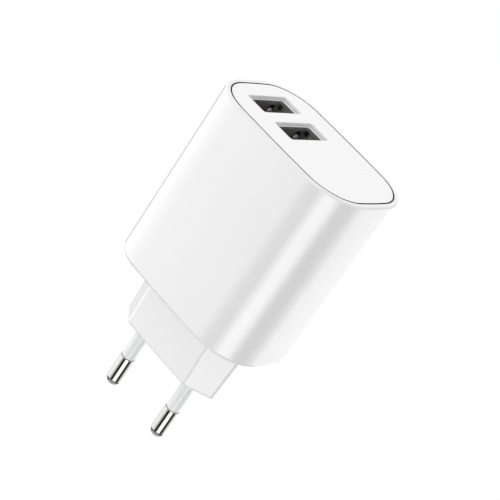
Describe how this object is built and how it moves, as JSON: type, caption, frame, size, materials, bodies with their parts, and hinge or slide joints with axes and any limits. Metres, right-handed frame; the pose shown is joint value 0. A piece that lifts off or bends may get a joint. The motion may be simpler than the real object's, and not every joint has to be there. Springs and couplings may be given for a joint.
{
  "type": "usb wall charger",
  "caption": "Compact mains charger with a fixed two-pin plug on a slim collar, a round-cornered white case and side-by-side USB-A ports in its end panel.",
  "frame": {"origin": "centre of the plug's engagement face, between the pins", "axes": "+Z runs from the plug's face to the USB ports, along the pins; +X is the width, with the ports towards -X; +Y is the thickness, from one broad face to the other"},
  "size_m": [0.0472, 0.0324, 0.0852],
  "materials": {
    "case_white": "gloss white ABS and polycarbonate, moulded",
    "panel_white": "white, a touch softer than the case",
    "carrier_white": "plain moulded white",
    "sleeve_white": "white nylon sleeve",
    "pin_nickel": "nickel plated brass, bright",
    "strip_copper": "bare copper alloy strip",
    "contact_gold": "gold plated spring contacts",
    "port_steel": "nickel plated steel sheet, satin",
    "tongue_black": "black glass-filled nylon",
    "board_green": "green solder mask",
    "core_ferrite": "sintered ferrite, dark grey",
    "bobbin_black": "black phenolic",
    "winding_copper": "enamelled copper wire",
    "tape_yellow": "yellow polyester tape",
    "card_clear": "pale insulating card",
    "can_blue": "dark blue sleeve with aluminium top",
    "can_black": "black sleeve with aluminium top",
    "resistor_green": "green lacquer",
    "chip_black": "black moulding compound",
    "opto_white": "white moulding compound",
    "disc_blue": "blue dipped coating",
    "smd_tan": "tan ceramic",
    "header_black": "black header strip"
  },
  "bodies": {
    "charger": {"case": "case_white", "port_panel": "panel_white", "pin_carrier": "carrier_white", "pin_left": "pin_nickel", "pin_right": "pin_nickel", "sleeve_left": "sleeve_white", "sleeve_right": "sleeve_white", "lead_left": "strip_copper", "lead_right": "strip_copper", "main_board": "board_green", "usb_board": "board_green", "board_link": "header_black", "insulating_sheet": "card_clear", "usb_1_shell": "port_steel", "usb_2_shell": "port_steel", "usb_1_tongue": "tongue_black", "usb_2_tongue": "tongue_black", "usb_1_tails": "contact_gold", "usb_2_tails": "contact_gold", "transformer_core": "core_ferrite", "transformer_bobbin": "bobbin_black", "transformer_winding": "winding_copper", "transformer_tape": "tape_yellow", "input_capacitor_1": "can_blue", "input_capacitor_2": "can_blue", "output_capacitor_1": "can_black", "output_capacitor_2": "can_black", "fuse_resistor": "resistor_green", "bridge_rectifier": "chip_black", "line_choke": "core_ferrite", "controller_chip": "chip_black", "optocoupler": "opto_white", "y_capacitor": "disc_blue", "output_diode": "chip_black", "port_chip": "chip_black", "small_parts": "smd_tan"},
    "usb_1_spring_outer": {"usb_1_spring_outer": "port_steel"},
    "usb_1_spring_inner": {"usb_1_spring_inner": "port_steel"},
    "usb_1_contacts": {"usb_1_contacts": "contact_gold"},
    "usb_2_spring_outer": {"usb_2_spring_outer": "port_steel"},
    "usb_2_spring_inner": {"usb_2_spring_inner": "port_steel"},
    "usb_2_contacts": {"usb_2_contacts": "contact_gold"}
  },
  "joints": [
    {"name": "usb_1_outer_flex", "type": "hinge", "parent": "charger", "child": "usb_1_spring_outer", "pos_m": [-0.01671, 0, 0.0571], "axis": [0, -1, 0], "range_deg": [0, 5], "stiffness_Nm_per_rad": 0.34},
    {"name": "usb_1_inner_flex", "type": "hinge", "parent": "charger", "child": "usb_1_spring_inner", "pos_m": [-0.01129, 0, 0.0571], "axis": [0, 1, 0], "range_deg": [0, 5]},
    {"name": "usb_1_contact_flex", "type": "hinge", "parent": "charger", "child": "usb_1_contacts", "pos_m": [-0.0136, 0, 0.0552], "axis": [0, 1, 0], "range_deg": [0, 3]},
    {"name": "usb_2_outer_flex", "type": "hinge", "parent": "charger", "child": "usb_2_spring_outer", "pos_m": [-0.00671, 0, 0.0571], "axis": [0, -1, 0], "range_deg": [0, 5], "stiffness_Nm_per_rad": 0.34},
    {"name": "usb_2_inner_flex", "type": "hinge", "parent": "charger", "child": "usb_2_spring_inner", "pos_m": [-0.00129, 0, 0.0571], "axis": [0, 1, 0], "range_deg": [0, 5]},
    {"name": "usb_2_contact_flex", "type": "hinge", "parent": "charger", "child": "usb_2_contacts", "pos_m": [-0.0036, 0, 0.0552], "axis": [0, 1, 0], "range_deg": [0, 3]}
  ],
  "couplings": [
    {"joint": "usb_1_inner_flex", "follows": "usb_1_outer_flex", "ratio": 1},
    {"joint": "usb_1_contact_flex", "follows": "usb_1_outer_flex", "ratio": 0.6},
    {"joint": "usb_2_inner_flex", "follows": "usb_2_outer_flex", "ratio": 1},
    {"joint": "usb_2_contact_flex", "follows": "usb_2_outer_flex", "ratio": 0.6}
  ]
}
